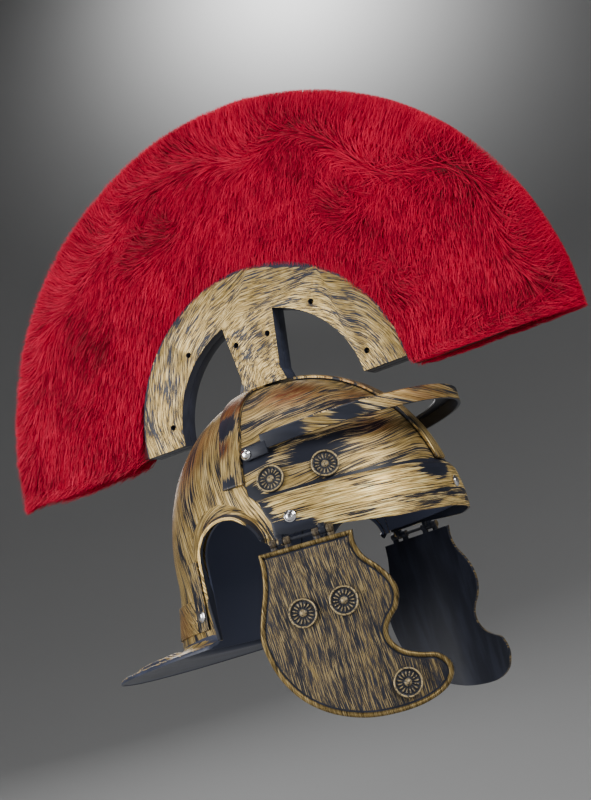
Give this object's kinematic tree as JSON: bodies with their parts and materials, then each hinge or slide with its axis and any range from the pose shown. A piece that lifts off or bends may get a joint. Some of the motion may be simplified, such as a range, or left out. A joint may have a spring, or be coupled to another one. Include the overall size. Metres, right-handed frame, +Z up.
{
  "type": "roman legionary helmet",
  "caption": "Open-faced legionary helmet with a swinging peak, hinged cheek guards, a flared neck guard and a tall fan-shaped fur crest on an arched holder.",
  "frame": {"origin": "inside of the crown, on the middle plane, where the helmet sits on a head", "axes": "+X to the wearer's left, -Y the wearer's front, +Z up"},
  "size_m": [0.2108, 0.4714, 0.4567],
  "materials": {
    "brushed_gold": "blue-black moulded plastic, dry-brushed by hand with gold paint",
    "dark_plastic": "blue-black moulded plastic with a little gold on its edges",
    "rivet_chrome": "plated, bright",
    "crimson_fur": "long-pile crimson fur fabric, tips brighter than roots"
  },
  "bodies": {
    "shell": {"bowl_front": "brushed_gold", "bowl_rear": "brushed_gold", "brow_band": "brushed_gold", "crown_ridge": "brushed_gold", "cross_band": "brushed_gold", "neck_strip_right": "brushed_gold", "neck_strip_left": "brushed_gold", "bowl_rosette_right_rear": "dark_plastic", "bowl_rosette_right_front": "dark_plastic", "bowl_rosette_left_rear": "dark_plastic", "bowl_rosette_left_front": "dark_plastic", "brow_rivet_right": "rivet_chrome", "brow_rivet_left": "rivet_chrome", "brow_rivet_front": "rivet_chrome", "neck_rivet_right": "rivet_chrome", "neck_rivet_left": "rivet_chrome", "peak_rivet_right": "rivet_chrome", "peak_rivet_left": "rivet_chrome", "hinge_pin_right": "dark_plastic", "hinge_pin_left": "dark_plastic", "crest_holder_right": "brushed_gold", "crest_holder_left": "brushed_gold", "crest_plume": "crimson_fur"},
    "cheek_right": {"cheek_guard_right": "brushed_gold", "cheek_rosette_right_upper_rear": "dark_plastic", "cheek_rosette_right_upper_front": "dark_plastic", "cheek_rosette_right_lower": "dark_plastic"},
    "cheek_left": {"cheek_guard_left": "brushed_gold", "cheek_rosette_left_upper_rear": "dark_plastic", "cheek_rosette_left_upper_front": "dark_plastic", "cheek_rosette_left_lower": "dark_plastic"},
    "peak": {"peak": "brushed_gold"}
  },
  "joints": [
    {"name": "cheek_right_hinge", "type": "hinge", "parent": "shell", "child": "cheek_right", "pos_m": [-0.09471, -0.0386, -0.1172], "axis": [-0.2419, 0.9703, 0], "range_deg": [-15, 95]},
    {"name": "cheek_left_hinge", "type": "hinge", "parent": "shell", "child": "cheek_left", "pos_m": [0.09471, -0.0386, -0.1172], "axis": [-0.2419, -0.9703, 0], "range_deg": [-15, 95]},
    {"name": "peak_pivot", "type": "hinge", "parent": "shell", "child": "peak", "pos_m": [0, -0.01, -0.0535], "axis": [-1, 0, 0], "range_deg": [-16, 8]}
  ]
}
